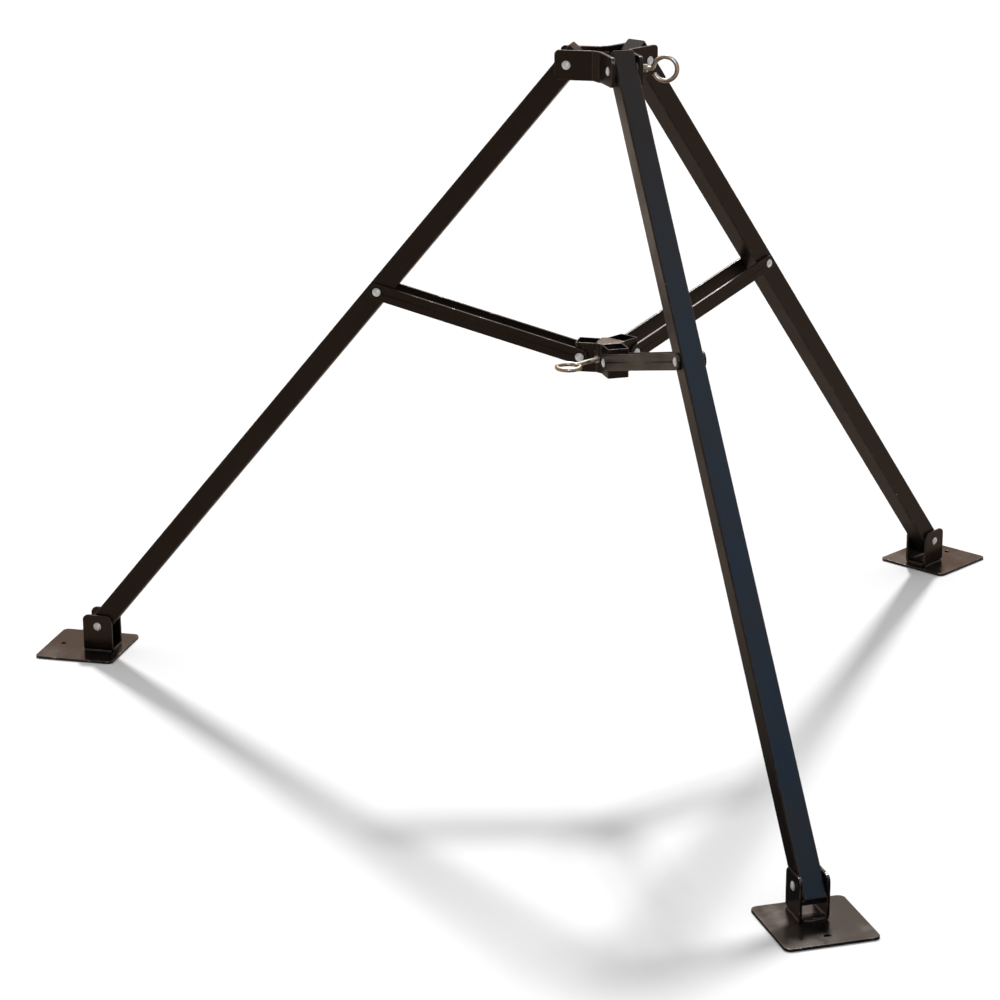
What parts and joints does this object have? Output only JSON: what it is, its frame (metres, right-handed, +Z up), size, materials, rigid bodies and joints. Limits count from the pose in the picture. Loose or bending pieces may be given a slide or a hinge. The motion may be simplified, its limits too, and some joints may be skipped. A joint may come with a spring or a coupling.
{
  "type": "folding tripod stand",
  "caption": "Folding steel tripod stand with a forked head, square-tube legs, braces to a sliding hub, eyebolts and pivoting foot plates.",
  "frame": {"origin": "on the ground, under the middle of the whole stand's box", "axes": "+X across the stand, from the left leg to the right leg; -Y towards the front leg; +Z up"},
  "size_m": [1.9268, 1.6716, 1.1691],
  "materials": {
    "leg_paint": "gloss black powder coat",
    "bracket_paint": "gloss black powder coat over welded plate",
    "brace_paint": "gloss black powder coat",
    "foot_paint": "high-gloss black powder coat",
    "zinc_hardware": "bright zinc plate with a warm tint",
    "steel_rivets": "bright plated steel"
  },
  "bodies": {
    "head": {"head_fork_left_front": "bracket_paint", "head_fork_front_right": "bracket_paint", "head_fork_right_left": "bracket_paint", "head_core": "bracket_paint", "head_rivet_front": "steel_rivets", "head_rivet_right": "steel_rivets", "head_rivet_left": "steel_rivets", "head_washers": "steel_rivets", "head_eyebolt": "zinc_hardware", "head_eyebolt_nuts": "zinc_hardware"},
    "hub": {"hub_tube_front": "bracket_paint", "hub_tube_right": "bracket_paint", "hub_tube_left": "bracket_paint", "hub_webs": "bracket_paint", "hub_plate": "bracket_paint", "hub_rivet_front": "steel_rivets", "hub_rivet_right": "steel_rivets", "hub_rivet_left": "steel_rivets", "hub_eyebolt": "zinc_hardware", "hub_eyebolt_nuts": "zinc_hardware"},
    "leg_front": {"leg_front": "leg_paint", "brace_pin_front": "steel_rivets"},
    "brace_front": {"brace_bar_front_a": "brace_paint", "brace_bar_front_b": "brace_paint", "brace_rivet_ends_front": "steel_rivets"},
    "foot_front": {"foot_plate_front": "foot_paint", "foot_bracket_front": "foot_paint", "foot_rivet_front": "steel_rivets"},
    "leg_right": {"leg_right": "leg_paint", "brace_pin_right": "steel_rivets"},
    "brace_right": {"brace_bar_right_a": "brace_paint", "brace_bar_right_b": "brace_paint", "brace_rivet_ends_right": "steel_rivets"},
    "foot_right": {"foot_plate_right": "foot_paint", "foot_bracket_right": "foot_paint", "foot_rivet_right": "steel_rivets"},
    "leg_left": {"leg_left": "leg_paint", "brace_pin_left": "steel_rivets"},
    "brace_left": {"brace_bar_left_a": "brace_paint", "brace_bar_left_b": "brace_paint", "brace_rivet_ends_left": "steel_rivets"},
    "foot_left": {"foot_plate_left": "foot_paint", "foot_bracket_left": "foot_paint", "foot_rivet_left": "steel_rivets"}
  },
  "joints": [
    {"name": "leg_fold", "type": "hinge", "parent": "head", "child": "leg_front", "pos_m": [0, 0.16679, 1.13537], "axis": [1, 0, 0], "range_deg": [0, 36.6]},
    {"name": "leg_fold_right", "type": "hinge", "parent": "head", "child": "leg_right", "pos_m": [0.06105, 0.27254, 1.13537], "axis": [-0.5, 0.866, 0], "range_deg": [0, 36.6]},
    {"name": "leg_fold_left", "type": "hinge", "parent": "head", "child": "leg_left", "pos_m": [-0.06105, 0.27254, 1.13537], "axis": [-0.5, -0.866, 0], "range_deg": [0, 36.6]},
    {"name": "hub_slide", "type": "slide", "parent": "head", "child": "hub", "axis": [0, 0, -1], "range_m": [0, 0.39947]},
    {"name": "brace_swing_front", "type": "hinge", "parent": "hub", "child": "brace_front", "pos_m": [0, 0.19049, 0.62693], "axis": [-1, 0, 0], "range_deg": [0, 67.35]},
    {"name": "brace_swing_right", "type": "hinge", "parent": "hub", "child": "brace_right", "pos_m": [0.04053, 0.26069, 0.62693], "axis": [0.5, -0.866, 0], "range_deg": [0, 67.35]},
    {"name": "brace_swing_left", "type": "hinge", "parent": "hub", "child": "brace_left", "pos_m": [-0.04053, 0.26069, 0.62693], "axis": [0.5, 0.866, 0], "range_deg": [0, 67.35]},
    {"name": "foot_tilt_front", "type": "hinge", "parent": "leg_front", "child": "foot_front", "pos_m": [0, -0.72879, 0.0528], "axis": [1, 0, 0], "range_deg": [-70, 60]},
    {"name": "foot_tilt_right", "type": "hinge", "parent": "leg_right", "child": "foot_right", "pos_m": [0.83665, 0.72033, 0.0528], "axis": [-0.5, 0.866, 0], "range_deg": [-70, 60]},
    {"name": "foot_tilt_left", "type": "hinge", "parent": "leg_left", "child": "foot_left", "pos_m": [-0.83665, 0.72033, 0.0528], "axis": [-0.5, -0.866, 0], "range_deg": [-70, 60]}
  ],
  "couplings": [
    {"joint": "leg_fold_right", "follows": "leg_fold", "ratio": 1},
    {"joint": "leg_fold_left", "follows": "leg_fold", "ratio": 1},
    {"joint": "hub_slide", "follows": "leg_fold", "m_per_rad": 0.62535},
    {"joint": "brace_swing_front", "follows": "leg_fold", "ratio": 1.84},
    {"joint": "brace_swing_right", "follows": "leg_fold", "ratio": 1.84},
    {"joint": "brace_swing_left", "follows": "leg_fold", "ratio": 1.84}
  ]
}
